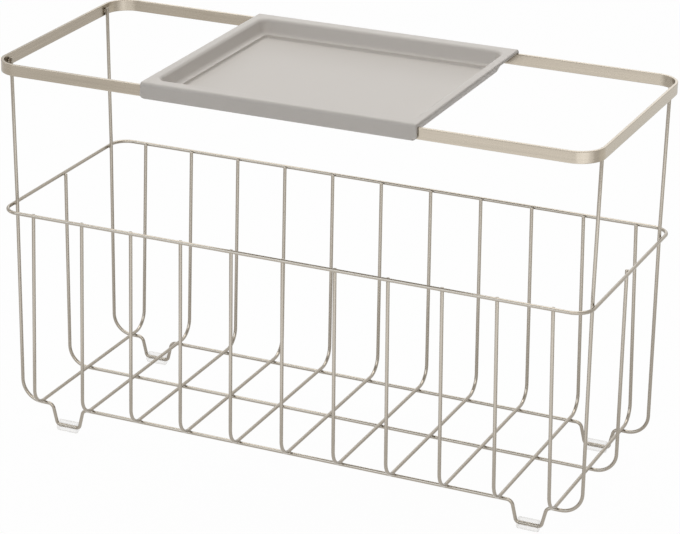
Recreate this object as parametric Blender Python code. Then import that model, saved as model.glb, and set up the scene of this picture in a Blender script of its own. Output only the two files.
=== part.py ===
"""Wire storage basket on four sleeved feet, with a shallow tray that slides along its top rail.

Metres, +Z up, X along the basket, front at -Y. The origin is on the standing surface, under
the middle of the basket.
"""

import math

import bmesh
import bpy
from mathutils import Vector

# Steel wire, and the clearance between pieces that are welded or pushed together
WIRE_D = 0.0025
SEAT_GAP = 0.0003

# Cross wires of the basket: a row of U shapes along X, a little closer at the rim than the floor
CROSS_WIRE_COUNT = 11
FLOOR_PITCH = 0.0392
RIM_PITCH = 0.0385
END_BAY = 0.0243
CROSS_BEND_R = 0.013
WIRE_END_RISE = 0.0004

# Rim wire, the closed loop outside the ends of the cross wires
BASKET_WIDTH = 0.1723
RIM_RISE = 0.1501
RIM_CORNER_R = 0.0125

# Long wires under the cross wires: one in the middle, and two that also make feet and posts
LONG_BEND_R = 0.015
POST_EDGE_MARGIN = 0.0029
POST_WELD_RUN = 0.005
POST_END_DROP = 0.0022

# Feet: dips in the outer long wires, each in a clear sleeve. A foot is FOOT_LENGTH long half
# way up its legs, which lean so that each end of a leg is FOOT_LEAN out of that place.
FOOT_DROP = 0.0152
FOOT_INSET = 0.0398
FOOT_LENGTH = 0.0215
FOOT_LEAN = 0.0018
FOOT_TOP_BEND_R = 0.0045
FOOT_LOW_BEND_R = 0.0028
SLEEVE_D = 0.0085
SLEEVE_END_LAP = 0.0008
SLEEVE_END_CHAMFER = 0.0005
SLEEVE_SIDES = 16

# Top rail, a flat bar bent into a closed loop
RAIL_RISE = 0.1100
RAIL_HEIGHT = 0.0082
RAIL_THICKNESS = 0.002
RAIL_CORNER_R = 0.0183
RAIL_OVERHANG_END = 0.0021
RAIL_OVERHANG_SIDE = 0.00385

# Tray: a flange that lies on the rail, a skirt outside each long side, and a shallow basin
TRAY_LENGTH = 0.2005
TRAY_OFFSET = -0.0020
TRAY_SIDE_CLEARANCE = 0.0005
FLANGE_THICKNESS = 0.0022
FLANGE_EDGE_R = 0.0026
SKIRT_THICKNESS = 0.0018
SKIRT_BELOW_RAIL = 0.0005
SKIRT_CORNER_R = 0.0032
BASIN_END_MARGIN = 0.0070
BASIN_SIDE_MARGIN = 0.0066
BASIN_CORNER_R = 0.008
BASIN_TIGHTEST_CORNER_R = 0.0008
BASIN_LIP_R = 0.003
BASIN_WALL = 0.0022
BASIN_OUTER_CORNER_R = 0.005
BASIN_FLOOR_THICKNESS = 0.0016
BASIN_UNDERSIDE_INSET = 0.003
BASIN_WALL_DEPTH = 0.0103
BASIN_WALL_INSET = 0.0028
BASIN_WALL_FILLET = 0.003
BASIN_LEDGE_WIDTH = 0.0028
BASIN_FLOOR_DROP = 0.0025
BASIN_FLOOR_FILLET = 0.0012
BASIN_UNDERSIDE_FILLET = 0.0035

# Fineness of the faceted round shapes
ARC_STEP = math.radians(15)
CORNER_STEPS = 7
WIRE_BEVEL_RESOLUTION = 2
CUTTER_OVERSHOOT = 0.002

# Places worked out from the sizes above
WELD_SPACING = WIRE_D + SEAT_GAP
FOOT_Z = SLEEVE_D / 2 * math.cos(math.pi / SLEEVE_SIDES)
LONG_WIRE_Z = FOOT_Z + FOOT_DROP
CROSS_WIRE_Z = LONG_WIRE_Z + WELD_SPACING
RIM_Z = LONG_WIRE_Z + RIM_RISE
RAIL_TOP_Z = RIM_Z + RAIL_RISE
WIRE_END_Z = RIM_Z + WIRE_END_RISE
RIM_HALF_X = (CROSS_WIRE_COUNT - 1) / 2 * RIM_PITCH + END_BAY
RIM_HALF_Y = BASKET_WIDTH / 2
RAIL_HALF_X = RIM_HALF_X + RAIL_OVERHANG_END
RAIL_HALF_Y = RIM_HALF_Y + RAIL_OVERHANG_SIDE
CROSS_WIRE_Y = RIM_HALF_Y - WELD_SPACING
WIRE_END_X = RIM_HALF_X - WELD_SPACING
POST_TOP_X = RAIL_HALF_X - RAIL_THICKNESS - SEAT_GAP - WIRE_D / 2
POST_Y = min(RIM_HALF_Y - RIM_CORNER_R, RAIL_HALF_Y - RAIL_CORNER_R) - POST_EDGE_MARGIN
FOOT_X = RIM_HALF_X - FOOT_INSET
FOOT_TOP_HALF = FOOT_LENGTH / 2 + FOOT_LEAN
FOOT_LOW_HALF = FOOT_LENGTH / 2 - FOOT_LEAN
LEG_ANGLE = math.atan2(FOOT_TOP_HALF - FOOT_LOW_HALF, FOOT_DROP)
FOOT_LOW_REACH = FOOT_LOW_BEND_R * math.tan((math.pi / 2 - LEG_ANGLE) / 2)
SLEEVE_LENGTH = 2 * (FOOT_LOW_HALF - FOOT_LOW_REACH + SLEEVE_END_LAP)
TRAY_SEAT_Z = RAIL_TOP_Z + SEAT_GAP
SKIRT_INNER_Y = RAIL_HALF_Y + TRAY_SIDE_CLEARANCE
SKIRT_OUTER_Y = SKIRT_INNER_Y + SKIRT_THICKNESS
BASIN_HALF_X = TRAY_LENGTH / 2 - BASIN_END_MARGIN
BASIN_HALF_Y = RAIL_HALF_Y - RAIL_THICKNESS - BASIN_SIDE_MARGIN


def clear_scene():
    """Remove every object of the open scene."""
    for thing in list(bpy.data.objects):
        bpy.data.objects.remove(thing, do_unlink=True)


def linear(channel):
    """Turn one display colour channel, 0 to 1, into a linear one."""
    if channel <= 0.04045:
        return channel / 12.92
    return ((channel + 0.055) / 1.055) ** 2.4


def make_material(name, display_colour, roughness, metallic, transmission=0.0):
    """Make a plain finish from a display colour."""
    material = bpy.data.materials.new(name)
    material.use_nodes = True
    shader = material.node_tree.nodes["Principled BSDF"]
    shader.inputs["Base Color"].default_value = (*[linear(c) for c in display_colour], 1.0)
    shader.inputs["Roughness"].default_value = roughness
    shader.inputs["Metallic"].default_value = metallic
    shader.inputs["Transmission Weight"].default_value = transmission
    return material


def add_empty(name, location, parent=None):
    """Add an empty that carries a group of pieces."""
    empty = bpy.data.objects.new(name, None)
    empty.empty_display_size = 0.02
    empty.parent = parent
    empty.location = location
    bpy.context.scene.collection.objects.link(empty)
    return empty


def add_object(name, data, material, parent, location=(0, 0, 0)):
    """Link one piece, with its own copy of a finish, under its carrier."""
    piece = bpy.data.objects.new(name, data)
    bpy.context.scene.collection.objects.link(piece)
    piece.parent = parent
    piece.location = location
    own_finish = material.copy()
    own_finish.name = name + "_finish"
    if not data.materials:
        data.materials.append(own_finish)
    piece.material_slots[0].link = "OBJECT"
    piece.material_slots[0].material = own_finish
    return piece


def arc_between(start, end, centre, steps):
    """Points of an arc from start to end round a centre, both ends included."""
    first = start - centre
    last = end - centre
    turns = [first.slerp(last, k / steps).normalized() for k in range(steps + 1)]
    return [centre + turn * first.length for turn in turns]


def rounded_path(corners, radii):
    """Points along straight runs, with each inner corner turned at its radius."""
    corners = [Vector(c) for c in corners]
    points = [corners[0]]
    for before, corner, after, radius in zip(corners, corners[1:], corners[2:], radii):
        back = (before - corner).normalized()
        ahead = (after - corner).normalized()
        half_angle = back.angle(ahead) / 2
        if radius <= 0:
            points.append(corner)
            continue
        reach = radius / math.tan(half_angle)
        centre = corner + (back + ahead).normalized() * radius / math.sin(half_angle)
        steps = max(2, math.ceil((math.pi - 2 * half_angle) / ARC_STEP))
        points += arc_between(corner + back * reach, corner + ahead * reach, centre, steps)
    points.append(corners[-1])
    return points


def rounded_rectangle(half_x, half_y, radius, z):
    """Points of a rectangle with round corners at one height, anticlockwise from above."""
    points = []
    for turn, (side_x, side_y) in enumerate(((1, 1), (-1, 1), (-1, -1), (1, -1))):
        centre_x = side_x * (half_x - radius)
        centre_y = side_y * (half_y - radius)
        for step in range(CORNER_STEPS + 1):
            angle = math.pi / 2 * (turn + step / CORNER_STEPS)
            x = centre_x + radius * math.cos(angle)
            y = centre_y + radius * math.sin(angle)
            points.append(Vector((x, y, z)))
    return points


def wire_curve(name, points, closed=False):
    """A round wire along a line of points, capped unless it closes on itself."""
    curve = bpy.data.curves.new(name, "CURVE")
    curve.dimensions = "3D"
    curve.bevel_depth = WIRE_D / 2
    curve.bevel_resolution = WIRE_BEVEL_RESOLUTION
    curve.use_fill_caps = True
    spline = curve.splines.new("POLY")
    spline.points.add(len(points) - 1)
    for place, point in zip(spline.points, points):
        place.co = (*point, 1.0)
    spline.use_cyclic_u = closed
    spline.use_smooth = True
    return curve


def new_mesh(name, bm, sharp_angle=math.radians(40)):
    """Turn a bmesh into a mesh with outward faces and smooth round surfaces."""
    bmesh.ops.recalc_face_normals(bm, faces=bm.faces)
    mesh = bpy.data.meshes.new(name)
    bm.to_mesh(mesh)
    bm.free()
    mesh.shade_smooth()
    mesh.set_sharp_from_angle(angle=sharp_angle)
    return mesh


def join_rings(bm, rings, closed):
    """Join rings of equally many points with four-sided faces, back to the first if closed."""
    ends = rings[1:] + (rings[:1] if closed else [])
    for lower, upper in zip(rings, ends):
        count = len(lower)
        for k in range(count):
            following = (k + 1) % count
            bm.faces.new((lower[k], lower[following], upper[following], upper[k]))


def ring_verts(bm, points):
    """Add one ring of points to a bmesh."""
    return [bm.verts.new(point) for point in points]


def cross_wire_points():
    """Line of a cross wire, from its floor run: up the front, across and up the back."""
    top = WIRE_END_Z - CROSS_WIRE_Z
    corners = [(0, -CROSS_WIRE_Y, top), (0, -CROSS_WIRE_Y, 0), (0, CROSS_WIRE_Y, 0), (0, CROSS_WIRE_Y, top)]
    return rounded_path(corners, [CROSS_BEND_R, CROSS_BEND_R])


def mid_wire_points():
    """Line of the middle long wire, in the XZ plane, with its ends at the rim."""
    corners = [
        (-WIRE_END_X, 0, WIRE_END_Z),
        (-WIRE_END_X, 0, LONG_WIRE_Z),
        (WIRE_END_X, 0, LONG_WIRE_Z),
        (WIRE_END_X, 0, WIRE_END_Z),
    ]
    return rounded_path(corners, [LONG_BEND_R, LONG_BEND_R])


def foot_wire_half(side):
    """Corners and radii of an outer long wire, from its post's top to the middle of the floor."""
    kink_z = RIM_Z + POST_WELD_RUN
    corners = [
        (side * POST_TOP_X, 0, RAIL_TOP_Z - POST_END_DROP),
        (side * WIRE_END_X, 0, kink_z),
        (side * WIRE_END_X, 0, LONG_WIRE_Z),
        (side * (FOOT_X + FOOT_TOP_HALF), 0, LONG_WIRE_Z),
        (side * (FOOT_X + FOOT_LOW_HALF), 0, FOOT_Z),
        (side * (FOOT_X - FOOT_LOW_HALF), 0, FOOT_Z),
        (side * (FOOT_X - FOOT_TOP_HALF), 0, LONG_WIRE_Z),
    ]
    radii = [0, LONG_BEND_R, FOOT_TOP_BEND_R, FOOT_LOW_BEND_R, FOOT_LOW_BEND_R, FOOT_TOP_BEND_R]
    return corners, radii


def foot_wire_points():
    """Line of an outer long wire: post, foot, floor, foot and post, in the XZ plane."""
    left_corners, left_radii = foot_wire_half(-1)
    right_corners, right_radii = foot_wire_half(1)
    return rounded_path(left_corners + right_corners[::-1], left_radii + right_radii[::-1])


def sleeve_mesh():
    """A short thick tube along X, with one flat facet downward and softened ends."""
    outer = SLEEVE_D / 2
    bore = (WIRE_D / 2 + SEAT_GAP) / math.cos(math.pi / SLEEVE_SIDES)
    half = SLEEVE_LENGTH / 2
    section = [
        (-half, bore),
        (-half, outer - SLEEVE_END_CHAMFER),
        (-half + SLEEVE_END_CHAMFER, outer),
        (half - SLEEVE_END_CHAMFER, outer),
        (half, outer - SLEEVE_END_CHAMFER),
        (half, bore),
    ]
    bm = bmesh.new()
    rings = []
    for x, radius in section:
        ring = []
        for k in range(SLEEVE_SIDES):
            angle = 2 * math.pi * (k + 0.5) / SLEEVE_SIDES - math.pi / 2
            ring.append((x, radius * math.cos(angle), radius * math.sin(angle)))
        rings.append(ring_verts(bm, ring))
    join_rings(bm, rings, closed=True)
    return new_mesh("foot_sleeve", bm)


def rail_mesh():
    """A flat bar on edge, bent into a rectangle with round corners."""
    bottom = RAIL_TOP_Z - RAIL_HEIGHT
    inner_x = RAIL_HALF_X - RAIL_THICKNESS
    inner_y = RAIL_HALF_Y - RAIL_THICKNESS
    inner_r = RAIL_CORNER_R - RAIL_THICKNESS
    bm = bmesh.new()
    rings = [
        ring_verts(bm, rounded_rectangle(RAIL_HALF_X, RAIL_HALF_Y, RAIL_CORNER_R, bottom)),
        ring_verts(bm, rounded_rectangle(RAIL_HALF_X, RAIL_HALF_Y, RAIL_CORNER_R, RAIL_TOP_Z)),
        ring_verts(bm, rounded_rectangle(inner_x, inner_y, inner_r, RAIL_TOP_Z)),
        ring_verts(bm, rounded_rectangle(inner_x, inner_y, inner_r, bottom)),
    ]
    join_rings(bm, rings, closed=True)
    return new_mesh("top_rail", bm)


def saddle_mesh():
    """Flange and side skirts of the tray, one section drawn along X, above its seat at z = 0."""
    top = FLANGE_THICKNESS
    skirt_end = -(RAIL_HEIGHT + SEAT_GAP + SKIRT_BELOW_RAIL)
    half_section = [(SKIRT_INNER_Y, 0), (SKIRT_INNER_Y, skirt_end)]
    outline = [(0, SKIRT_OUTER_Y, skirt_end), (0, SKIRT_OUTER_Y, top), (0, 0, top)]
    half_section += [(p.y, p.z) for p in rounded_path(outline, [FLANGE_EDGE_R])[:-1]]
    section = half_section + [(-y, z) for y, z in reversed(half_section)]
    bm = bmesh.new()
    face = bm.faces.new([bm.verts.new((-TRAY_LENGTH / 2, y, z)) for y, z in section])
    drawn = bmesh.ops.extrude_face_region(bm, geom=[face])["geom"]
    moved = [v for v in drawn if isinstance(v, bmesh.types.BMVert)]
    bmesh.ops.translate(bm, verts=moved, vec=(TRAY_LENGTH, 0, 0))
    bmesh.ops.recalc_face_normals(bm, faces=bm.faces)
    low_ends = []
    for edge in bm.edges:
        a, b = (v.co for v in edge.verts)
        if abs(a.x - b.x) < 1e-6 and abs(a.z - skirt_end) < 1e-6 and abs(b.z - skirt_end) < 1e-6:
            low_ends.append(edge)
    bmesh.ops.bevel(bm, geom=low_ends, offset=SKIRT_CORNER_R, segments=4, profile=0.5, affect="EDGES")
    return new_mesh("tray", bm, math.radians(25))


def hollow_corner_radius(inset):
    """Plan radius of the hollow's corners at an inset, tighter towards the floor."""
    return max(BASIN_CORNER_R - inset, BASIN_TIGHTEST_CORNER_R)


def basin_form(name, levels, corner_radius):
    """A closed form from (inset, height) levels, top down; an inset is from the basin's opening."""
    bm = bmesh.new()
    rings = []
    for inset, z in levels:
        outline = rounded_rectangle(BASIN_HALF_X - inset, BASIN_HALF_Y - inset, corner_radius(inset), z)
        rings.append(ring_verts(bm, outline))
    join_rings(bm, rings, closed=False)
    bm.faces.new(rings[0])
    bm.faces.new(rings[-1])
    return new_mesh(name, bm, math.radians(25))


def section_levels(corners, radii):
    """Levels of a basin section whose corners are rounded."""
    flat = [(inset, 0, z) for inset, z in corners]
    return [(p.x, p.z) for p in rounded_path(flat, radii)]


def basin_cavity_mesh():
    """The hollow of the basin: rounded lip, sloping walls, ledge, step and flat floor."""
    top = FLANGE_THICKNESS
    ledge_z = top - BASIN_WALL_DEPTH
    floor_z = ledge_z - BASIN_FLOOR_DROP
    ledge_inset = BASIN_WALL_INSET + BASIN_LEDGE_WIDTH
    corners = [
        (-2 * BASIN_LIP_R, top),
        (0, top),
        (BASIN_WALL_INSET, ledge_z),
        (ledge_inset, ledge_z),
        (ledge_inset, floor_z),
        (ledge_inset + 2 * BASIN_FLOOR_FILLET, floor_z),
    ]
    levels = section_levels(corners, [BASIN_LIP_R, BASIN_WALL_FILLET, 0, BASIN_FLOOR_FILLET])[1:]
    lip_inset = levels[0][0]
    levels.insert(0, (lip_inset, top + CUTTER_OVERSHOOT))
    return basin_form("tray_basin_hollow", levels, hollow_corner_radius)


def basin_shell_mesh():
    """The outer form of the basin, from inside the flange down to its underside."""
    top = FLANGE_THICKNESS
    bottom = top - BASIN_WALL_DEPTH - BASIN_FLOOR_DROP - BASIN_FLOOR_THICKNESS
    inner_inset = BASIN_UNDERSIDE_INSET + 2 * BASIN_UNDERSIDE_FILLET
    corners = [
        (-BASIN_WALL, top / 2),
        (-BASIN_WALL, 0),
        (BASIN_UNDERSIDE_INSET, bottom),
        (inner_inset, bottom),
    ]
    levels = section_levels(corners, [0, BASIN_UNDERSIDE_FILLET])
    return basin_form("tray_basin_shell", levels, lambda inset: BASIN_OUTER_CORNER_R)


def add_tool_form(name, mesh, carrier):
    """Link a form that only shapes another piece."""
    form = bpy.data.objects.new(name, mesh)
    bpy.context.scene.collection.objects.link(form)
    form.parent = carrier
    form.hide_render = True
    form.display_type = "WIRE"
    return form


def add_tray(material, carrier):
    """The tray: flange and skirts, with the basin's shell joined on and its hollow cut out."""
    tray = add_object("tray", saddle_mesh(), material, carrier)
    steps = (("UNION", basin_shell_mesh()), ("DIFFERENCE", basin_cavity_mesh()))
    for operation, mesh in steps:
        form = add_tool_form(mesh.name, mesh, carrier)
        cut = tray.modifiers.new(mesh.name, "BOOLEAN")
        cut.operation = operation
        cut.solver = "EXACT"
        cut.object = form
    return tray


def add_wires(steel, frame):
    """Cross wires, middle wire, rim and the two outer long wires."""
    cross_curve = wire_curve("cross_wire", cross_wire_points())
    for k in range(CROSS_WIRE_COUNT):
        place = k - (CROSS_WIRE_COUNT - 1) / 2
        location = (place * FLOOR_PITCH, 0, CROSS_WIRE_Z)
        wire = add_object(f"cross_wire_{k + 1:02d}", cross_curve, steel, frame, location)
        wire.rotation_euler.y = math.atan2(place * (RIM_PITCH - FLOOR_PITCH), RIM_Z - CROSS_WIRE_Z)
    add_object("mid_wire", wire_curve("mid_wire", mid_wire_points()), steel, frame)
    rim_points = rounded_rectangle(RIM_HALF_X, RIM_HALF_Y, RIM_CORNER_R, RIM_Z)
    add_object("rim_wire", wire_curve("rim_wire", rim_points, closed=True), steel, frame)
    foot_curve = wire_curve("foot_wire", foot_wire_points())
    for name, side in (("foot_wire_front", -1), ("foot_wire_back", 1)):
        add_object(name, foot_curve, steel, frame, (0, side * POST_Y, 0))


def add_sleeves(clear_plastic, frame):
    """A clear sleeve on each of the four feet."""
    mesh = sleeve_mesh()
    for depth_name, side_y in (("front", -1), ("back", 1)):
        for side_name, side_x in (("left", -1), ("right", 1)):
            place = (side_x * FOOT_X, side_y * POST_Y, FOOT_Z)
            add_object(f"foot_sleeve_{depth_name}_{side_name}", mesh, clear_plastic, frame, place)


def build():
    """Build the whole basket."""
    clear_scene()
    steel = make_material("satin_nickel_steel", (0.74, 0.71, 0.65), 0.35, 0.9)
    clear_plastic = make_material("clear_sleeve", (0.93, 0.92, 0.90), 0.12, 0.0, 0.85)
    tray_plastic = make_material("warm_grey_plastic", (0.81, 0.80, 0.78), 0.5, 0.0)
    frame = add_empty("basket_frame", (0, 0, 0))
    tray_slide = add_empty("tray_slide", (TRAY_OFFSET, 0, TRAY_SEAT_Z), frame)
    add_object("top_rail", rail_mesh(), steel, frame)
    add_wires(steel, frame)
    add_sleeves(clear_plastic, frame)
    add_tray(tray_plastic, tray_slide)


build()
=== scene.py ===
"""Looks of the wire storage basket with its sliding tray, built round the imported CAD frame.

Metres, +Z up, X along the basket, front at -Y, and the origin on the standing surface under
the middle. Every wire, the rail, the sleeves and the tray stand in place of their CAD nodes
as finer meshes, and the welds between them are added.
"""

from __future__ import annotations

import logging
import math
import random
from dataclasses import dataclass, field
from enum import Enum
from functools import cache
from typing import Iterable, Sequence

import bmesh
import bpy
from mathutils import Matrix, Vector

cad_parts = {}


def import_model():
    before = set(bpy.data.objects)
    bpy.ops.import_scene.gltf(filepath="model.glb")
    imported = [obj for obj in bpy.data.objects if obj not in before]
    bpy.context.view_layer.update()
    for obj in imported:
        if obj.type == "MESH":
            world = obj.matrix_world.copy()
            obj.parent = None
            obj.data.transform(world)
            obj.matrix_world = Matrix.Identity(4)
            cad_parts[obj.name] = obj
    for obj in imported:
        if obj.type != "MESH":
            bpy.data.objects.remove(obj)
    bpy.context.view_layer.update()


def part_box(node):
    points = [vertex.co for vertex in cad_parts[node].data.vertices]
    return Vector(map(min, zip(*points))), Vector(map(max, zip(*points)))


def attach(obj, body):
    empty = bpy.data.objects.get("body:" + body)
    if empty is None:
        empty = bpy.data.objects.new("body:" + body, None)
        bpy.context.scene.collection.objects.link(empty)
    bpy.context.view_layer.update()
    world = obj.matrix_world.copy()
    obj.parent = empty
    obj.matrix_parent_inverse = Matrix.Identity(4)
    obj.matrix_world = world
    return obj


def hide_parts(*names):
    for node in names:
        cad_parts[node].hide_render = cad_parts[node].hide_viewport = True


log = logging.getLogger("basket")

PLASTIC_IOR = 1.46
NOISE_MIDDLE = 0.5
# Straight pieces to a quarter turn, and the fewest to any corner.
QUARTER_STEPS = 14
FEWEST_STEPS = 3
# Points closer than this, in metres, count as level with each other.
SAME_PLACE = 1e-6
ALONG = Vector((1, 0, 0))
ACROSS = Vector((0, 1, 0))
UP = Vector((0, 0, 1))
Colour = tuple[float, float, float]
Point = tuple[float, float, float]
Pair = tuple[float, float]
Rings = list[list[Vector]]
# Waves per metre along X, Y and Z.
Waves = tuple[float, float, float]


class Body(str, Enum):
    """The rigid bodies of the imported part."""

    FRAME = "frame"
    TRAY = "tray"


class Slot(str, Enum):
    """The record's material slots."""

    RAIL = "rail_steel"
    WIRE = "wire_steel"
    SLEEVE = "clear_sleeve"
    TRAY = "tray_plastic"


def linear(display: Colour) -> Colour:
    """Turn a display colour into a linear one.

    Args:
        display: Red, green and blue as a screen shows them, 0 to 255.

    Returns:
        The same colour in linear light, 0 to 1.
    """
    shares = [channel / 255 for channel in display]
    return tuple(s / 12.92 if s <= 0.04045 else ((s + 0.055) / 1.055) ** 2.4 for s in shares)


@dataclass(frozen=True)
class Signal:
    """An output socket whose arithmetic adds Math nodes to its tree.

    Attributes:
        bench: The bench that owns the node tree.
        socket: The output, or None for a node without one.
    """

    bench: Bench
    socket: bpy.types.NodeSocket | None

    def _math(self, operation: str, first: Signal | float, second: Signal | float) -> Signal:
        """Add one Math node.

        Args:
            operation: The node's operation.
            first: Its first operand.
            second: Its second operand.

        Returns:
            The node's result.
        """
        return self.bench.node("ShaderNodeMath", {"operation": operation}, {0: first, 1: second})

    def __add__(self, other: Signal | float) -> Signal:
        """Sum of two values."""
        return self._math("ADD", self, other)

    def __radd__(self, other: float) -> Signal:
        """Sum with a number on the left."""
        return self._math("ADD", other, self)

    def __sub__(self, other: Signal | float) -> Signal:
        """Difference of two values."""
        return self._math("SUBTRACT", self, other)

    def __rsub__(self, other: float) -> Signal:
        """Difference with a number on the left."""
        return self._math("SUBTRACT", other, self)

    def __mul__(self, other: Signal | float) -> Signal:
        """Product of two values."""
        return self._math("MULTIPLY", self, other)

    def __rmul__(self, other: float) -> Signal:
        """Product with a number on the left."""
        return self._math("MULTIPLY", other, self)

    def clamped(self) -> Signal:
        """Hold the value between 0 and 1."""
        return self.bench.node("ShaderNodeClamp", {}, {"Value": self})


class Bench:
    """A node tree in the making."""

    def __init__(self, tree: bpy.types.NodeTree) -> None:
        """Start on an emptied tree.

        Args:
            tree: The tree of a material or of the world.
        """
        tree.nodes.clear()
        self.tree = tree

    def node(
        self,
        kind: str,
        settings: dict[str, object],
        sockets: dict[str | int, object],
        output: str | int = 0,
    ) -> Signal:
        """Add a node.

        Args:
            kind: The node's type name.
            settings: Its own settings, set first.
            sockets: Values or signals by input name or number.
            output: The name or number of the output that is wanted.

        Returns:
            The wanted output.
        """
        made = self.tree.nodes.new(kind)
        for name, value in settings.items():
            setattr(made, name, value)
        for key, value in sockets.items():
            if isinstance(value, Signal):
                self.tree.links.new(value.socket, made.inputs[key])
            else:
                made.inputs[key].default_value = value
        return Signal(self, made.outputs[output] if len(made.outputs) else None)

    def noise(self, waves: Waves, detail: float = 2.0, roughness: float = 0.5) -> Signal:
        """Soft random values from 0 to 1, over the piece's own metres.

        Args:
            waves: Waves per metre.
            detail: Number of finer layers.
            roughness: Strength of each finer layer.

        Returns:
            The noise.
        """
        place = self.node("ShaderNodeTexCoord", {}, {}, "Object")
        scaled = self.node("ShaderNodeVectorMath", {"operation": "MULTIPLY"}, {0: place, 1: waves})
        sockets = {"Vector": scaled, "Scale": 1.0, "Detail": detail, "Roughness": roughness}
        return self.node("ShaderNodeTexNoise", {}, sockets, "Fac")

    def blend(self, share: Signal, low: Colour, high: Colour) -> Signal:
        """Mix two linear colours.

        Args:
            share: How much of the second colour shows.
            low: The colour at 0.
            high: The colour at 1.

        Returns:
            The mixed colour.
        """
        sockets = {0: share, 6: (*low, 1.0), 7: (*high, 1.0)}
        return self.node("ShaderNodeMix", {"data_type": "RGBA"}, sockets, 2)


@dataclass(frozen=True)
class Finish:
    """A finish for the surface of some pieces.

    Attributes:
        name: Name of the material.
        slot: The record's slot that it stands for. It is not used in this script.
        tone: Display colour, 0 to 255.
        gloss: Roughness of the surface, 0 for a mirror.
        mottle: Share by which the colour wanders.
        relief: Height of the surface's bumps in metres.
        relief_strength: Share of the relief that shows.
    """

    name: str
    slot: Slot
    tone: Colour
    gloss: float
    mottle: float = 0.03
    relief: float = 0.00002
    relief_strength: float = 0.1

    @cache
    def material(self) -> bpy.types.Material:
        """Make the material, once for all its pieces.

        Returns:
            The material.
        """
        made = bpy.data.materials.new(self.name)
        made.use_nodes = True
        self.paint(Bench(made.node_tree))
        return made

    def paint(self, bench: Bench) -> None:
        """Lay out the nodes.

        Args:
            bench: The material's empty bench.
        """
        raise NotImplementedError

    def cover(
        self, bench: Bench, wander: Signal, roughness: Signal, height: Signal, others: dict[str, object]
    ) -> None:
        """Put a Principled shader on the surface.

        Args:
            bench: The material's bench.
            wander: Where the colour is between its darker and its lighter shade.
            roughness: The roughness, before it is held between 0 and 1.
            height: Height of the bumps, from 0 to 1.
            others: Values or signals for its other inputs.
        """
        tone = linear(self.tone)
        low = tuple(channel * (1 - self.mottle) for channel in tone)
        high = tuple(channel * (1 + self.mottle) for channel in tone)
        bumps = {"Height": height, "Distance": self.relief, "Strength": self.relief_strength}
        sockets = {
            "Base Color": bench.blend(wander, low, high),
            "Roughness": roughness.clamped(),
            "Normal": bench.node("ShaderNodeBump", {}, bumps),
            **others,
        }
        surface = bench.node("ShaderNodeBsdfPrincipled", {}, sockets)
        bench.node("ShaderNodeOutputMaterial", {}, {"Surface": surface})


@dataclass(frozen=True)
class SatinNickel(Finish):
    """Plated steel with a soft sheen.

    Attributes:
        grain: The fine grain.
        clouds: The slow wandering of the colour.
        waves: The faint waves of the plating.
        streaks: Share of the colour's wandering that follows the grain.
        metallic: Share of bare metal.
        grain_gloss: Span of the roughness over the grain.
        cloud_gloss: Span of the roughness over the slow wandering.
        grain_relief: Share of the relief that is grain.
    """

    relief_strength: float = 0.05
    grain: Waves = (1600.0, 1600.0, 1600.0)
    clouds: Waves = (38.0, 38.0, 38.0)
    waves: Waves = (420.0, 420.0, 420.0)
    streaks: float = 0.25
    metallic: float = 0.92
    grain_gloss: float = 0.16
    cloud_gloss: float = 0.10
    grain_relief: float = 0.6

    def paint(self, bench: Bench) -> None:
        """Lay out a wandering tone, a fine grain and the faint waves of the plating.

        Args:
            bench: The material's empty bench.
        """
        clouds = bench.noise(self.clouds, detail=3.0)
        grain = bench.noise(self.grain, detail=3.0, roughness=0.6)
        waves = bench.noise(self.waves)
        grain_shine = (grain - NOISE_MIDDLE) * self.grain_gloss
        roughness = grain_shine + (clouds - NOISE_MIDDLE) * self.cloud_gloss + self.gloss
        wander = clouds * (1 - self.streaks) + grain * self.streaks
        height = grain * self.grain_relief + waves * (1 - self.grain_relief)
        self.cover(bench, wander, roughness, height, {"Metallic": self.metallic})


@dataclass(frozen=True)
class MouldedPlastic(Finish):
    """Opaque moulded plastic with a fine spark-eroded grain.

    Attributes:
        grain: The fine grain.
        flow: The slow flow marks.
        flow_tone: Share of the colour's wandering that follows the flow marks.
        grain_gloss: Span of the roughness over the grain.
        flow_gloss: Span of the roughness over the flow marks.
    """

    mottle: float = 0.022
    relief: float = 0.00003
    relief_strength: float = 0.5
    grain: Waves = (2400.0, 2400.0, 2400.0)
    flow: Waves = (9.0, 14.0, 30.0)
    flow_tone: float = 0.65
    grain_gloss: float = 0.12
    flow_gloss: float = 0.08

    def paint(self, bench: Bench) -> None:
        """Lay out the grain, the slow flow marks and the roughness that follows them.

        Args:
            bench: The material's empty bench.
        """
        grain = bench.noise(self.grain, detail=3.0, roughness=0.6)
        flow = bench.noise(self.flow)
        grain_shine = (grain - NOISE_MIDDLE) * self.grain_gloss
        roughness = grain_shine + (flow - NOISE_MIDDLE) * self.flow_gloss + self.gloss
        wander = flow * self.flow_tone + grain * (1 - self.flow_tone)
        self.cover(bench, wander.clamped(), roughness, grain, {"IOR": PLASTIC_IOR})


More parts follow.
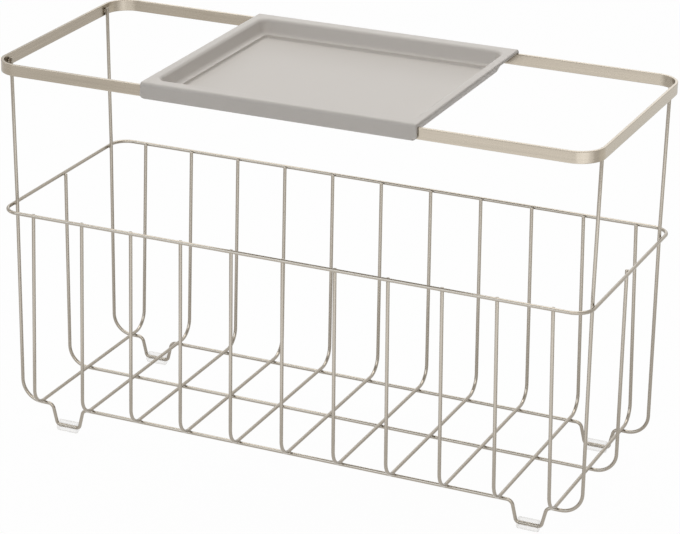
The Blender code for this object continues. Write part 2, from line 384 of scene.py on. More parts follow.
@dataclass(frozen=True)
class ClearPlastic(Finish):
    """Clear soft tube, seen through more easily face on than at its outline.

    Attributes:
        scuffs: The light scuffs, drawn out along the tube.
        body: Opacity of one wall face on.
        outline: Opacity added where the wall turns away.
        scuff_opacity: Opacity added by the scuffs.
        scuff_gloss: Roughness added by the scuffs.
    """

    scuffs: Waves = (225.0, 900.0, 900.0)
    body: float = 0.08
    outline: float = 0.50
    scuff_opacity: float = 0.03
    scuff_gloss: float = 0.10

    def paint(self, bench: Bench) -> None:
        """Lay out a glossy see-through wall with light scuffs along the tube.

        Args:
            bench: The material's empty bench.
        """
        scuff = bench.noise(self.scuffs, detail=3.0)
        turned = bench.node("ShaderNodeLayerWeight", {}, {"Blend": 0.5}, "Facing")
        edge = turned * turned * turned * self.outline
        opacity = edge + scuff * self.scuff_opacity + self.body
        others = {"IOR": PLASTIC_IOR, "Alpha": opacity.clamped()}
        self.cover(bench, scuff, scuff * self.scuff_gloss + self.gloss, scuff, others)


class Finishes:
    """The finishes of the object."""

    RAIL = SatinNickel(
        "satin_nickel_bar",
        Slot.RAIL,
        (165, 155, 140),
        0.24,
        grain=(9.0, 9.0, 620.0),
        mottle=0.22,
        streaks=0.85,
    )
    WIRE = SatinNickel("satin_nickel_wire", Slot.WIRE, (156, 148, 136), 0.20)
    SLEEVE = ClearPlastic("clear_tube", Slot.SLEEVE, (217, 210, 197), 0.14)
    TRAY = MouldedPlastic("warm_grey_moulding", Slot.TRAY, (208, 203, 197), 0.50)


class Form:
    """A mesh being made from rings of points."""

    def __init__(self) -> None:
        """Start empty."""
        self.bm = bmesh.new()

    def ring(self, points: Iterable[Sequence[float]]) -> list[bmesh.types.BMVert]:
        """Add the points of one ring.

        Args:
            points: The ring's points in order.

        Returns:
            Its vertices.
        """
        return [self.bm.verts.new(point) for point in points]

    def loft(self, rings: Sequence[Sequence[Sequence[float]]], closed: bool = False) -> Form:
        """Join rings of equally many points, closed on themselves or capped at both ends.

        Args:
            rings: The rings in order.
            closed: Whether the last ring joins the first.

        Returns:
            This form.
        """
        loops = [self.ring(points) for points in rings]
        uppers = loops[1:] + loops[:1] if closed else loops[1:]
        for lower, upper in zip(loops, uppers):
            for k, vert in enumerate(lower):
                following = (k + 1) % len(lower)
                self.bm.faces.new((vert, lower[following], upper[following], upper[k]))
        if not closed:
            self.bm.faces.new(loops[0])
            self.bm.faces.new(loops[-1])
        return self

    def mesh(self, name: str, sharp_degrees: float = 50.0) -> bpy.types.Mesh:
        """Finish the mesh with outward faces and smooth shading.

        Args:
            name: Name of the mesh.
            sharp_degrees: Angle from which an edge stays sharp.

        Returns:
            The mesh.
        """
        bmesh.ops.recalc_face_normals(self.bm, faces=self.bm.faces)
        made = bpy.data.meshes.new(name)
        self.bm.to_mesh(made)
        self.bm.free()
        made.shade_smooth()
        made.set_sharp_from_angle(angle=math.radians(sharp_degrees))
        return made


def add(name: str, data: bpy.types.ID) -> bpy.types.Object:
    """Link a new object to the scene.

    Args:
        name: Its name.
        data: Its mesh, lamp or camera.

    Returns:
        The object.
    """
    made = bpy.data.objects.new(name, data)
    bpy.context.scene.collection.objects.link(made)
    return made


def show(mesh: bpy.types.Mesh, finish: Finish, body: Body, nodes: Sequence[str] = ()) -> None:
    """Add a piece in its finish, riding on its body.

    Args:
        mesh: The piece's mesh, in the frame of the CAD.
        finish: Its finish.
        body: The body that it moves with.
        nodes: CAD nodes that it stands for.
    """
    piece = add(mesh.name, mesh)
    mesh.materials.clear()
    mesh.materials.append(finish.material())
    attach(piece, body.value)
    if nodes:
        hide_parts(*nodes)
    log.info("%s: %d faces", piece.name, len(mesh.polygons))


def bent(
    corners: Sequence[Point], radii: Sequence[float], quarter_steps: int = QUARTER_STEPS
) -> list[Vector]:
    """Points along straight runs whose inner corners are turned at a radius.

    Args:
        corners: The corners, first and last included.
        radii: Radius at each inner corner, 0 for a plain kink.
        quarter_steps: Straight pieces to a quarter turn.

    Returns:
        The points of the line.
    """
    marks = [Vector(c) for c in corners]
    points = [marks[0]]
    for before, corner, after, radius in zip(marks, marks[1:], marks[2:], radii):
        back, ahead = (before - corner).normalized(), (after - corner).normalized()
        half = back.angle(ahead) / 2
        if radius <= 0:
            points.append(corner)
            continue
        reach = radius / math.tan(half)
        centre = corner + (back + ahead).normalized() * radius / math.sin(half)
        steps = max(FEWEST_STEPS, round((math.pi - 2 * half) / (math.pi / 2) * quarter_steps))
        first, last = corner + back * reach - centre, corner + ahead * reach - centre
        axis, whole = first.cross(last).normalized(), first.angle(last)
        for k in range(steps + 1):
            points.append(centre + Matrix.Rotation(whole * k / steps, 3, axis) @ first)
    return points + [marks[-1]]


def round_rectangle(half_x: float, half_y: float, radius: float, steps: int) -> list[Vector]:
    """Points of a level rectangle with round corners, anticlockwise from above.

    Args:
        half_x: Half its length.
        half_y: Half its width.
        radius: Radius of its corners.
        steps: Straight pieces to a corner.

    Returns:
        The points, at height 0.
    """
    points = []
    for turn, (side_x, side_y) in enumerate(((1, 1), (-1, 1), (-1, -1), (1, -1))):
        centre = Vector((side_x * (half_x - radius), side_y * (half_y - radius), 0))
        for k in range(steps + 1):
            angle = math.pi / 2 * (turn + k / steps)
            points.append(centre + radius * Vector((math.cos(angle), math.sin(angle), 0)))
    return points


@dataclass(frozen=True)
class Rod:
    """Round wire that lies in one plane.

    Attributes:
        thickness: Diameter in metres.
        sides: Flats round the section.
        cut_round: Radius of the softened edge of a cut end.
        cut_steps: Steps round that edge.
        most_widening: Most that a kink may stretch the section.
    """

    thickness: float = 0.0025
    sides: int = 20
    cut_round: float = 0.00035
    cut_steps: int = 4
    most_widening: float = 2.0

    @property
    def radius(self) -> float:
        """Half the thickness."""
        return self.thickness / 2

    def mesh(
        self, name: str, line: Sequence[Vector], normal: Vector, closed: bool = False
    ) -> bpy.types.Mesh:
        """Sweep the section along a line.

        Args:
            name: Name of the mesh.
            line: Points of the centre line.
            normal: Normal of the plane that the line lies in.
            closed: Whether the line closes on itself.

        Returns:
            The mesh.
        """
        rings = []
        count = len(line)
        for k, point in enumerate(line):
            before = line[k - 1] if closed or k > 0 else point
            after = line[(k + 1) % count] if closed or k < count - 1 else point
            way_in, way_out = (point - before).normalized(), (after - point).normalized()
            tangent = (way_in + way_out).normalized()
            widening = 1 / max(1 / self.most_widening, tangent.dot(way_out) or tangent.dot(way_in))
            rings.append(self._section(point, tangent, normal, self.radius, widening))
        if not closed:
            rings = self._softened(line, normal, rings)
        return Form().loft(rings, closed).mesh(name)

    def _section(
        self, centre: Vector, tangent: Vector, normal: Vector, radius: float, widening: float = 1.0
    ) -> list[Vector]:
        """Points of the section at one place.

        Args:
            centre: The place.
            tangent: Direction of the line there.
            normal: Normal of the line's plane.
            radius: Radius of the section.
            widening: Stretch across the line that a kink needs.

        Returns:
            The section's points.
        """
        aside = tangent.cross(normal).normalized()
        turns = [2 * math.pi * k / self.sides for k in range(self.sides)]
        return [
            centre + radius * (math.cos(a) * normal + math.sin(a) * widening * aside) for a in turns
        ]

    def _softened(self, line: Sequence[Vector], normal: Vector, rings: Rings) -> Rings:
        """Round the edges of both cut ends.

        Args:
            line: Points of the centre line.
            normal: Normal of its plane.
            rings: The sections so far.

        Returns:
            The sections, with those of the rounded ends.
        """
        starts: Rings = []
        ends: Rings = []
        for rows, tip, inner in ((starts, line[0], line[1]), (ends, line[-1], line[-2])):
            inward = (inner - tip).normalized()
            for k in range(self.cut_steps + 1):
                angle = math.pi / 2 * k / self.cut_steps
                radius = self.radius - self.cut_round * (1 - math.sin(angle))
                centre = tip + inward * self.cut_round * (1 - math.cos(angle))
                tangent = inward if rows is starts else -inward
                rows.append(self._section(centre, tangent, normal, radius))
        return starts + rings[1:-1] + ends[::-1]


@dataclass(frozen=True)
class Weld:
    """A small waisted bead of metal between two wires, or a wire and a flat bar.

    Attributes:
        centre: Middle of the gap between the two surfaces.
        normal: Direction from the first piece to the second.
        first: Direction of the first wire, or None for a flat.
        second: Direction of the second wire, or None for a flat.
        long: Half the bead's length, along its long way.
        wide: Half the bead's width.
        long_way: Direction of its length.
        levels: Steps from the first piece to the second.
        turns: Points round the bead.
        sink: Depth by which each end goes into its piece.
        waist: Share by which the bead is narrower at its middle.
        uneven: Shares by which its outline swells, twice and five times round.
        flank: Share of a wire's radius beyond which its surface counts as no deeper.
    """

    centre: Vector
    normal: Vector
    first: Vector | None
    second: Vector | None
    long: float = 0.00105
    wide: float = 0.00105
    long_way: Vector = field(default_factory=lambda: ALONG)
    levels: int = 6
    turns: int = 20
    sink: float = 0.00012
    waist: float = 0.22
    uneven: Pair = (0.07, 0.04)
    flank: float = 0.97

    def drop(self, offset: Vector, wire: Vector | None, radius: float, gap: float) -> float:
        """Depth of a piece's surface under the middle of the gap.

        Args:
            offset: Place in the plane of the gap, from its middle.
            wire: Direction of the wire, or None for a flat.
            radius: Radius of the wire.
            gap: Space between the two pieces.

        Returns:
            The depth in metres.
        """
        if wire is None:
            return gap / 2
        across = min((offset - offset.dot(wire) * wire).length, radius * self.flank)
        return gap / 2 + radius - math.sqrt(radius**2 - across**2)

    def rings(self, radius: float, gap: float, chance: random.Random) -> Rings:
        """Rings of the bead from the first piece to the second.

        Args:
            radius: Radius of the wires.
            gap: Space between the pieces.
            chance: Source of the bead's small unevenness.

        Returns:
            The rings, with both ends sunk a little in the pieces.
        """
        side = self.normal.cross(self.long_way).normalized()
        lean = chance.uniform(0, 2 * math.pi)
        twice, five_times = self.uneven
        rings: Rings = []
        for level in range(self.levels + 1):
            share = level / self.levels
            waist = 1 - self.waist * math.sin(math.pi * share)
            ring = []
            for k in range(self.turns):
                angle = 2 * math.pi * k / self.turns
                swell = twice * math.sin(2 * angle + lean) + five_times * math.sin(5 * angle - lean)
                long, wide = self.long * (1 + swell), self.wide * (1 + swell)
                rim = long * math.cos(angle) * self.long_way + wide * math.sin(angle) * side
                low = self.drop(rim, self.first, radius, gap) + self.sink
                high = self.drop(rim, self.second, radius, gap) + self.sink
                ring.append(self.centre + rim * waist + self.normal * (share * (low + high) - low))
            rings.append(ring)
        return rings


@dataclass
class WireBasket:
    """The welded frame: cross wires, rim, long wires with feet and posts, rail and sleeves.

    Sizes are in metres and are the CAD's own, apart from the sleeves' round section, the
    rounds of edges, the welds, and the steps and angles of the meshes.
    """

    rod: Rod = Rod()
    weld_gap: float = 0.0003
    cross_count: int = 11
    floor_pitch: float = 0.0392
    rim_pitch: float = 0.0385
    cross_bend: float = 0.013
    long_bend: float = 0.015
    rim_bend: float = 0.0125
    rim_steps: int = 16
    rim_weld_drop: float = 0.0002
    wire_end_rise: float = 0.0004
    post_bend: float = 0.02
    post_weld_run: float = 0.005
    post_end_drop: float = 0.0022
    foot_length: float = 0.0215
    foot_lean: float = 0.0018
    foot_top_bend: float = 0.0045
    foot_low_bend: float = 0.0028
    sleeve_thickness: float = 0.00825
    sleeve_round: float = 0.0006
    sleeve_steps: int = 4
    sleeve_flats: int = 48
    rail_thickness: float = 0.002
    rail_bend: float = 0.0183
    rail_bend_steps: int = 20
    rail_edge: float = 0.0003
    rail_edge_steps: int = 3
    rail_flat_margin: float = 0.06
    rail_sharp_degrees: float = 60.0
    rail_weld: Pair = (0.0022, 0.0010)

    def __post_init__(self) -> None:
        """Read the places of the CAD nodes."""
        radius = self.rod.radius
        rim_low, rim_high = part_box("rim_wire")
        self.rim_half = Vector((rim_high.x - radius, rim_high.y - radius, 0))
        self.rim_z = (rim_low.z + rim_high.z) / 2
        self.long_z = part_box("mid_wire")[0].z + radius
        self.foot_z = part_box("foot_wire_front")[0].z + radius
        self.post_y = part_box("foot_wire_back")[1].y - radius
        self.cross_z = self.long_z + self.rod.thickness + self.weld_gap
        self.cross_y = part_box("cross_wire_06")[1].y - radius
        self.end_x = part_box("mid_wire")[1].x - radius
        self.post_top_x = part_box("foot_wire_back")[1].x - radius
        self.rail_low, self.rail_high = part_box("top_rail")
        sleeve_low, sleeve_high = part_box("foot_sleeve_back_right")
        self.foot_x = (sleeve_low.x + sleeve_high.x) / 2
        self.sleeve_length = sleeve_high.x - sleeve_low.x

    @property
    def places(self) -> list[float]:
        """Numbers of the cross wires, counted from the middle one."""
        return [k - (self.cross_count - 1) / 2 for k in range(self.cross_count)]

    def build(self) -> None:
        """Build and dress every piece of the frame."""
        self.build_rail()
        self.build_rim()
        self.build_cross_wires()
        self.build_mid_wire()
        self.build_foot_wires()
        self.build_sleeves()
        self.build_welds()

    def build_rail(self) -> None:
        """Bend the flat bar of the top rail, with its edges slightly rounded."""
        half_deep = self.rail_thickness / 2
        middle_z = (self.rail_low.z + self.rail_high.z) / 2
        half_z = self.rail_high.z - middle_z
        edges = round_rectangle(half_deep, half_z, self.rail_edge, self.rail_edge_steps)
        section = []
        for k, point in enumerate(edges):
            section.append(point)
            # Two more points near the ends of each flat keep its shading level.
            if (k + 1) % (self.rail_edge_steps + 1) == 0:
                following = edges[(k + 1) % len(edges)]
                for share in (self.rail_flat_margin, 1 - self.rail_flat_margin):
                    section.append(point.lerp(following, share))
        rings = []
        for place in section:
            deep, z = half_deep + place.x, middle_z + place.y
            half_x, half_y = self.rail_high.x - deep, self.rail_high.y - deep
            outline = round_rectangle(half_x, half_y, self.rail_bend - deep, self.rail_bend_steps)
            rings.append([point + z * UP for point in outline])
        mesh = Form().loft(rings, closed=True).mesh("rail_bar", self.rail_sharp_degrees)
        show(mesh, Finishes.RAIL, Body.FRAME, ["top_rail"])

    def build_rim(self) -> None:
        """Bend the rim wire's closed loop."""
        line = round_rectangle(self.rim_half.x, self.rim_half.y, self.rim_bend, self.rim_steps)
        line = [point + self.rim_z * UP for point in line]
        mesh = self.rod.mesh("rim_loop", line, UP, closed=True)
        show(mesh, Finishes.WIRE, Body.FRAME, ["rim_wire"])

    def build_cross_wires(self) -> None:
        """Bend the cross wires, each leaning so that its ends meet the rim at its place there."""
        y, top = self.cross_y, self.rim_z + self.wire_end_rise - self.cross_z
        corners = [(0, -y, top), (0, -y, 0), (0, y, 0), (0, y, top)]
        line = bent(corners, [self.cross_bend, self.cross_bend])
        for k, place in enumerate(self.places):
            mesh = self.rod.mesh(f"cross_rod_{k + 1:02d}", line, ALONG)
            sideways = place * (self.rim_pitch - self.floor_pitch)
            lean = math.atan2(sideways, self.rim_z - self.cross_z)
            foot = Matrix.Translation((place * self.floor_pitch, 0, self.cross_z))
            mesh.transform(foot @ Matrix.Rotation(lean, 4, "Y"))
            show(mesh, Finishes.WIRE, Body.FRAME, [f"cross_wire_{k + 1:02d}"])

    def build_mid_wire(self) -> None:
        """Bend the middle long wire, whose ends stand up at the rim."""
        x, low, top = self.end_x, self.long_z, self.rim_z + self.wire_end_rise
        corners = [(-x, 0, top), (-x, 0, low), (x, 0, low), (x, 0, top)]
        line = bent(corners, [self.long_bend, self.long_bend])
        mesh = self.rod.mesh("mid_rod", line, ACROSS)
        show(mesh, Finishes.WIRE, Body.FRAME, ["mid_wire"])

    def foot_line(self) -> list[Vector]:
        """Centre line of an outer long wire: post, foot, floor run, foot and post.

        Returns:
            Its points, over the middle line of the basket.
        """
        top_half = self.foot_length / 2 + self.foot_lean
        low_half = self.foot_length / 2 - self.foot_lean
        half = [
            (self.post_top_x, self.rail_high.z - self.post_end_drop),
            (self.end_x, self.rim_z + self.post_weld_run),
            (self.end_x, self.long_z),
            (self.foot_x + top_half, self.long_z),
            (self.foot_x + low_half, self.foot_z),
            (self.foot_x - low_half, self.foot_z),
            (self.foot_x - top_half, self.long_z),
        ]
        top, low = self.foot_top_bend, self.foot_low_bend
        radii = [self.post_bend, self.long_bend, top, low, low, top]
        corners = [(-x, 0, z) for x, z in half] + [(x, 0, z) for x, z in reversed(half)]
        return bent(corners, radii + radii[::-1])

    def build_foot_wires(self) -> None:
        """Bend the front and back long wires."""
        for name, side in (("front", -1), ("back", 1)):
            line = [point + side * self.post_y * ACROSS for point in self.foot_line()]
            mesh = self.rod.mesh(f"foot_rod_{name}", line, ACROSS)
            show(mesh, Finishes.WIRE, Body.FRAME, [f"foot_wire_{name}"])

    def build_sleeves(self) -> None:
        """Push a clear tube on each foot."""
        outer, bore = self.sleeve_thickness / 2, self.rod.radius + self.weld_gap
        half, edge, steps = self.sleeve_length / 2, self.sleeve_round, self.sleeve_steps
        right = [(half - edge / 2, bore), (half, bore + edge / 2)]
        for k in range(steps + 1):
            angle = math.pi / 2 * k / steps
            x = half - edge * (1 - math.cos(angle))
            right.append((x, outer - edge * (1 - math.sin(angle))))
        section = [(-x, radius) for x, radius in right] + right[::-1]
        turns = [2 * math.pi * (k + 0.5) / self.sleeve_flats for k in range(self.sleeve_flats)]
        hoops = []
        for x, radius in section:
            hoops.append([Vector((x, radius * math.sin(a), radius * math.cos(a))) for a in turns])
        for depth_name, side_y in (("front", -1), ("back", 1)):
            for side_name, side_x in (("left", -1), ("right", 1)):
                centre = Vector((side_x * self.foot_x, side_y * self.post_y, self.foot_z))
                rings = [[centre + point for point in hoop] for hoop in hoops]
                where = f"{depth_name}_{side_name}"
                mesh = Form().loft(rings, closed=True).mesh(f"clear_sleeve_{where}")
                show(mesh, Finishes.SLEEVE, Body.FRAME, [f"foot_sleeve_{where}"])

    def build_welds(self) -> None:
        """Join the wires with small beads at every crossing, and the posts to the rail."""
        step = (self.rod.thickness + self.weld_gap) / 2
        long_wires = (-self.post_y, 0.0, self.post_y)
        rim_z = self.rim_z - self.rim_weld_drop
        rail_z = (self.rail_low.z + self.rail_high.z - self.post_end_drop) / 2
        floor, rim, rail = [], [], []
        for place in self.places:
            for y in long_wires:
                centre = Vector((place * self.floor_pitch, y, self.long_z + step))
                floor.append(Weld(centre, UP, ALONG, ACROSS))
        for side in (-1, 1):
            for place in self.places:
                centre = Vector((place * self.rim_pitch, side * (self.cross_y + step), rim_z))
                rim.append(Weld(centre, side * ACROSS, UP, ALONG))
            for y in long_wires:
                centre = Vector((side * (self.end_x + step), y, rim_z))
                rim.append(Weld(centre, side * ALONG, UP, ACROSS, long_way=ACROSS))
            for y in (-self.post_y, self.post_y):
                centre = Vector((side * (self.post_top_x + step), y, rail_z))
                rail.append(Weld(centre, side * ALONG, UP, None, *self.rail_weld, UP))
        for name, welds in (("floor_welds", floor), ("rim_welds", rim), ("rail_welds", rail)):
            chance = random.Random(name)
            form = Form()
            for weld in welds:
                form.loft(weld.rings(self.rod.radius, self.weld_gap, chance))
            show(form.mesh(name), Finishes.WIRE, Body.FRAME)


@dataclass
class Tray:
    """The plastic tray: flange, two side skirts and a shallow basin with a ledge.

    Sizes are in metres and are the CAD's own, apart from the rounds of the two ends, the
    soft edges, and the steps and angles of the meshes.
    """

    flange: float = 0.0022
    flange_round: float = 0.0026
    flange_steps: int = 8
    skirt: float = 0.0018
    skirt_depth: float = 0.0112
    skirt_corner: float = 0.0032
    skirt_steps: int = 8
    end_round: float = 0.0011
    end_steps: int = 5
    end_margin: float = 0.0070
    side_margin: float = 0.0109
    corner: float = 0.008
    corner_steps: int = 12
    tightest_corner: float = 0.0008
    lip: float = 0.003
    wall: float = 0.0022
    outer_corner: float = 0.005
    floor: float = 0.0016
    underside_inset: float = 0.003
    wall_depth: float = 0.0103
    wall_inset: float = 0.0028
    wall_fillet: float = 0.003
    ledge: float = 0.0028
    floor_drop: float = 0.0025
    floor_fillet: float = 0.0012
    underside_fillet: float = 0.0035
    underside_steps: int = 10
    soft_edge: float = 0.00035
    soft_steps: int = 3
    soft_degrees: float = 38.0

    def __post_init__(self) -> None:
        """Read the place of the CAD tray."""
        low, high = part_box("tray")
        self.centre_x = (low.x + high.x) / 2
        self.half_x = (high.x - low.x) / 2
        self.half_y = high.y
        self.top_z = high.z

    def build(self) -> None:
        """Build and dress the tray."""
        blank = add("tray_blank", self.saddle())
        tools = [blank]
        for operation, mesh in (("UNION", self.shell()), ("DIFFERENCE", self.hollow())):
            tools.append(add(mesh.name, mesh))
            cut = blank.modifiers.new(mesh.name, "BOOLEAN")
            cut.operation, cut.solver, cut.object = operation, "EXACT", tools[-1]
        soft = blank.modifiers.new("soft_edges", "BEVEL")
        soft.width, soft.segments = self.soft_edge, self.soft_steps
        soft.limit_method, soft.angle_limit = "ANGLE", math.radians(self.soft_degrees)
        even = blank.modifiers.new("even_shading", "WEIGHTED_NORMAL")
        even.keep_sharp = False
        graph = bpy.context.evaluated_depsgraph_get()
        mesh = bpy.data.meshes.new_from_object(blank.evaluated_get(graph), depsgraph=graph)
        mesh.name = "tray_moulding"
        for tool in tools:
            bpy.data.objects.remove(tool, do_unlink=True)
        show(mesh, Finishes.TRAY, Body.TRAY, ["tray"])

    def at(self, x: float, y: float, depth: float) -> Vector:
        """A point from the tray's middle and a depth under its top."""
        return Vector((self.centre_x + x, y, self.top_z - depth))

    def saddle(self) -> bpy.types.Mesh:
        """Flange and skirts, one section drawn along the tray, with rounded ends.

        Returns:
            The mesh.
        """
        inner = self.half_y - self.skirt
        outline = [(0, self.half_y, self.skirt_depth), (0, self.half_y, 0), (0, 0, 0)]
        half = [(inner, self.flange), (inner, self.skirt_depth)]
        half += [(p.y, p.z) for p in bent(outline, [self.flange_round], self.flange_steps)[:-1]]
        section = half + [(-y, depth) for y, depth in reversed(half)]
        form = Form()
        face = form.bm.faces.new(form.ring(self.at(-self.half_x, y, depth) for y, depth in section))
        drawn = bmesh.ops.extrude_face_region(form.bm, geom=[face])["geom"]
        moved = [v for v in drawn if isinstance(v, bmesh.types.BMVert)]
        bmesh.ops.translate(form.bm, verts=moved, vec=(2 * self.half_x, 0, 0))
        bmesh.ops.recalc_face_normals(form.bm, faces=form.bm.faces)
        low_z = self.top_z - self.skirt_depth
        ends = []
        for edge in form.bm.edges:
            a, b = (vert.co for vert in edge.verts)
            if max(abs(a.x - b.x), abs(a.z - low_z), abs(b.z - low_z)) < SAME_PLACE:
                ends.append(edge)
        corner, end = self.skirt_corner, self.end_round
        arc = {"profile": 0.5, "affect": "EDGES"}
        bmesh.ops.bevel(form.bm, geom=ends, offset=corner, segments=self.skirt_steps, **arc)
        rims = [edge for edge in form.bm.edges if self._is_end_rim(edge)]
        bmesh.ops.bevel(form.bm, geom=rims, offset=end, segments=self.end_steps, **arc)
        return form.mesh("tray_saddle")

    def _is_end_rim(self, edge: bmesh.types.BMEdge) -> bool:
        """Whether an edge is on the outer outline of one of the tray's ends.

        Args:
            edge: An edge of the saddle.

        Returns:
            True if both its points are at the same end, on the skirts' outside or the top.
        """
        half, inner = self.half_x - SAME_PLACE, self.half_y - self.skirt + SAME_PLACE
        top_z = self.top_z - self.flange / 2
        a, b = (vert.co for vert in edge.verts)
        if abs(a.x - b.x) > half or min(abs(a.x - self.centre_x), abs(b.x - self.centre_x)) < half:
            return False
        return all(abs(point.y) > inner or point.z > top_z for point in (a, b))

    def basin_rings(self, levels: Sequence[Pair], radii: Sequence[float]) -> Rings:
        """Rings of the basin from its levels.

        Args:
            levels: Inset from the opening and depth under the top, for each ring.
            radii: Radius of each ring's corners.

        Returns:
            The rings.
        """
        half_x, half_y = self.half_x - self.end_margin, self.half_y - self.side_margin
        rings = []
        for (inset, depth), radius in zip(levels, radii):
            outline = round_rectangle(half_x - inset, half_y - inset, radius, self.corner_steps)
            rings.append([self.at(point.x, point.y, depth) for point in outline])
        return rings

    def hollow(self) -> bpy.types.Mesh:
        """The hollow of the basin: rounded lip, sloping walls, ledge, step and flat floor.

        Returns:
            The mesh.
        """
        floor_depth = self.wall_depth + self.floor_drop
        step = self.wall_inset + self.ledge
        corners = [
            (-2 * self.lip, 0, 0),
            (0, 0, 0),
            (self.wall_inset, 0, self.wall_depth),
            (step, 0, self.wall_depth),
            (step, 0, floor_depth),
            (step + 2 * self.floor_fillet, 0, floor_depth),
        ]
        line = bent(corners, [self.lip, self.wall_fillet, self.soft_edge, self.floor_fillet])[1:]
        levels = [(line[0].x, -self.lip)] + [(point.x, point.z) for point in line]
        radii = [max(self.corner - inset, self.tightest_corner) for inset, _ in levels]
        return Form().loft(self.basin_rings(levels, radii)).mesh("tray_hollow")

    def shell(self) -> bpy.types.Mesh:
        """The outer form of the basin, from inside the flange down to its underside.

        Returns:
            The mesh.
        """
        bottom = self.wall_depth + self.floor_drop + self.floor
        corners = [
            (-self.wall, 0, self.flange / 2),
            (-self.wall, 0, self.flange),
            (self.underside_inset, 0, bottom),
            (self.underside_inset + 2 * self.underside_fillet, 0, bottom),
        ]
        line = bent(corners, [0, self.underside_fillet], self.underside_steps)
        levels = [(point.x, point.z) for point in line]
        radii = [self.outer_corner] * len(levels)
        return Form().loft(self.basin_rings(levels, radii)).mesh("tray_shell")


@dataclass(frozen=True)
class Softbox:
    """A rectangular studio lamp.

    Attributes:
        name: Name of the lamp.
        place: Where it hangs, in metres.
        aim: The point that it faces.
        size: Its width and height in metres.
        watts: Its power.
        tint: Its linear colour.
        mirrored_only: Whether it shows in reflections alone, as a card on the floor does.
    """

    name: str
    place: Point
    aim: Point
    size: Pair
    watts: float
    tint: Colour = (1.0, 1.0, 1.0)
    mirrored_only: bool = False

    def hang(self) -> None:
        """Add the lamp to the scene."""
        lamp = bpy.data.lights.new(self.name, "AREA")
        lamp.shape = "RECTANGLE"
        lamp.size, lamp.size_y = self.size
        lamp.energy = self.watts
        lamp.color = self.tint
        holder = add(self.name, lamp)
        holder.location = self.place
        way = Vector(self.aim) - Vector(self.place)
        holder.rotation_mode = "QUATERNION"
        holder.rotation_quaternion = way.to_track_quat("-Z", "Y")
        holder.visible_camera = False
        holder.visible_diffuse = not self.mirrored_only
        log.info("%s: %.0f W", self.name, self.watts)


@dataclass(frozen=True)
class Viewpoint:
    """The camera of the photograph, fitted to it.

    Attributes:
        azimuth: Turn round the object from its front, in degrees.
        elevation: Height over the horizon, in degrees.
        roll: Turn round the line of sight, in degrees.
        distance: From the aim to the camera, in metres.
        aside: Shift to the right of the line through the aim, in metres.
        lift: Shift upward from that line, in metres.
        aim_height: Height of the aim over the origin, in metres.
        focal: Focal length in pixels.
        centre_x: Column of the optical axis in the photograph.
        width: Width of the photograph in pixels.
    """

    azimuth: float = 25.285
    elevation: float = 21.577
    roll: float = 0.361
    distance: float = 1.90661
    aside: float = -0.037256
    lift: float = -0.006401
    aim_height: float = 0.141311
    focal: float = 2723.78
    centre_x: float = 280.0
    width: float = 680.0

    def set_up(self) -> None:
        """Add the camera and make it the scene's."""
        turn, rise, roll = (math.radians(x) for x in (self.azimuth, self.elevation, self.roll))
        right = Vector((math.cos(turn), math.sin(turn), 0))
        level = math.cos(rise)
        back = Vector((math.sin(turn) * level, -math.cos(turn) * level, math.sin(rise)))
        up = back.cross(right)
        side = right * math.cos(roll) + up * math.sin(roll)
        top = up * math.cos(roll) - right * math.sin(roll)
        aim = Vector((0, 0, self.aim_height))
        place = aim + side * self.aside + top * self.lift + back * self.distance
        lens = bpy.data.cameras.new("camera")
        lens.lens = lens.sensor_width * self.focal / self.width
        lens.shift_x = (self.width / 2 - self.centre_x) / self.width
        camera = add("camera", lens)
        camera.matrix_world = Matrix((side, top, back)).transposed().to_4x4()
        camera.matrix_world.translation = place
        bpy.context.scene.camera = camera
        log.info("camera at %s", tuple(round(x, 3) for x in place))


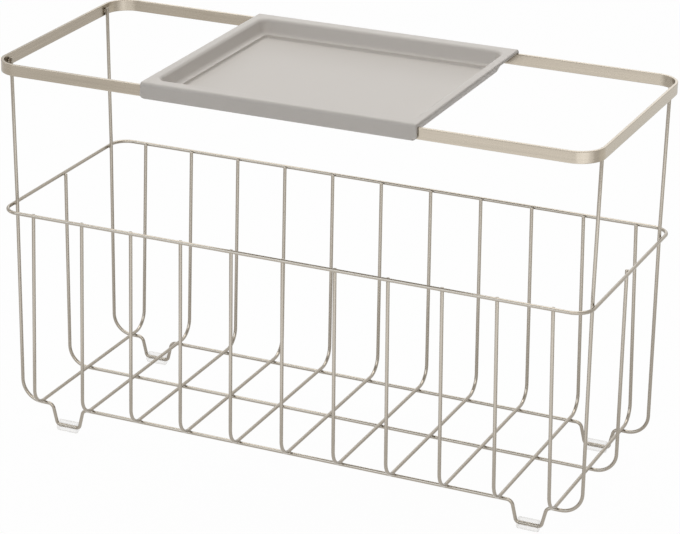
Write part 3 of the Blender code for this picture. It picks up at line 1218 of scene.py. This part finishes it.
@dataclass(frozen=True)
class Studio:
    """A plain pale floor, a white surround and soft lamps.

    Attributes:
        floor_half: Half the floor's side in metres.
        floor_tone: Grey of the floor in linear light.
        floor_drop: Depth of the floor under the standing surface.
        card_drop: Depth of the cards under it, less than the floor's.
        glow: Share of plain white that the camera sees in the floor.
        ambient: Strength of the surround's light on the object.
        warmth: Linear colour of that light.
    """

    floor_half: float = 6.0
    floor_tone: float = 0.88
    floor_drop: float = 0.0002
    card_drop: float = 0.0001
    glow: float = 0.975
    ambient: float = 0.17
    warmth: Colour = (1.0, 0.97, 0.94)

    def set_up(self) -> None:
        """Add the floor, the surround and the lamps."""
        self.lay_floor()
        self.light_surround()
        foot, cool = (0, 0, 0.1), (0.86, 1.0, 1.19)
        for lamp in (
            Softbox("top_softbox", (-0.4, 0.68, 1.9), (0, 0, 0.2), (2.0, 1.5), 23.8),
            Softbox("front_softbox", (0.5, -1.6, 1.1), (0, 0, 0.2), (1.4, 0.9), 8.0),
            Softbox("left_strip", (-1.6, -0.5, 0.5), (0, 0, 0.15), (0.25, 0.9), 1.2),
            Softbox(
                "side_softbox", (-0.85, -1.75, 0.95), foot, (1.4, 1.3), 9.5, cool, mirrored_only=True
            ),
            Softbox("back_softbox", (-0.65, 1.85, 0.9), foot, (1.0, 0.5), 1.6, mirrored_only=True),
            self.card("front_card", (0.0, -0.66), (0.68, 0.9), 0.8),
            self.card("near_card", (0.2, -0.105), (1.4, 0.21), 0.2),
            self.card("corner_card", (0.78, -0.33), (0.88, 0.24), 0.7),
            self.card("post_card", (0.78, -0.78), (0.88, 0.66), 1.4),
            Softbox("rear_softbox", (0.6, 2.0, 1.1), foot, (1.4, 0.8), 1.2, mirrored_only=True),
            self.card("left_card", (-0.64, -0.83), (0.6, 0.4), 0.2),
            self.card("right_card", (0.85, 0.65), (0.9, 0.9), 0.2, (1.0, 1.0, 0.8)),
        ):
            lamp.hang()
        bpy.context.scene.view_settings.view_transform = "Standard"

    def card(
        self, name: str, place: Pair, size: Pair, glow: float, tint: Colour = (0.94, 1.0, 1.09)
    ) -> Softbox:
        """A glowing card on the floor that the metal mirrors.

        Args:
            name: Name of the card.
            place: Its middle on the floor, in metres.
            size: Its sides along X and Y.
            glow: Its brightness, where 1 is white.
            tint: Its linear colour.

        Returns:
            The card as a lamp that faces up.
        """
        low = (*place, -self.card_drop)
        watts = math.pi * size[0] * size[1] * glow
        return Softbox(name, low, (*place, 1.0), size, watts, tint, mirrored_only=True)

    @staticmethod
    def _seen(bench: Bench) -> Signal:
        """Tell the rays that show the background: camera, mirror and through-going ones.

        Args:
            bench: The bench of the floor or of the surround.

        Returns:
            1 for those rays and 0 for all others.
        """
        seen = bench.node("ShaderNodeLightPath", {}, {}, "Is Camera Ray")
        for kind in ("Is Glossy Ray", "Is Transmission Ray"):
            seen = seen + bench.node("ShaderNodeLightPath", {}, {}, kind)
        return seen.clamped()

    def lay_floor(self) -> None:
        """Add the floor."""
        form = Form()
        half = self.floor_half
        corners = [(-half, -half, 0), (half, -half, 0), (half, half, 0), (-half, half, 0)]
        form.bm.faces.new(form.ring(corners))
        mesh = form.mesh("floor")
        material = bpy.data.materials.new("pale_floor")
        material.use_nodes = True
        bench = Bench(material.node_tree)
        tone = self.floor_tone
        matt = bench.node("ShaderNodeBsdfDiffuse", {}, {"Color": (tone, tone, tone, 1.0)})
        white = bench.node("ShaderNodeEmission", {}, {"Color": (1, 1, 1, 1), "Strength": 1.0})
        share = self._seen(bench) * self.glow
        mixed = bench.node("ShaderNodeMixShader", {}, {0: share, 1: matt, 2: white})
        bench.node("ShaderNodeOutputMaterial", {}, {"Surface": mixed})
        mesh.materials.append(material)
        floor = add("floor", mesh)
        floor.location.z = -self.floor_drop

    def light_surround(self) -> None:
        """Set the world: plain white where it is seen, softer as a light."""
        world = bpy.data.worlds.new("surround")
        world.use_nodes = True
        bpy.context.scene.world = world
        bench = Bench(world.node_tree)
        strength = self._seen(bench) * (1 - self.ambient) + self.ambient
        warm = bench.blend(self._seen(bench), self.warmth, (1.0, 1.0, 1.0))
        light = bench.node("ShaderNodeBackground", {}, {"Color": warm, "Strength": strength})
        bench.node("ShaderNodeOutputWorld", {}, {"Surface": light})


def main() -> None:
    """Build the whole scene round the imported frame."""
    logging.basicConfig(level=logging.INFO, format="%(name)s: %(message)s")
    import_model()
    Viewpoint().set_up()
    Studio().set_up()
    WireBasket().build()
    Tray().build()


if __name__ == "__main__":
    main()
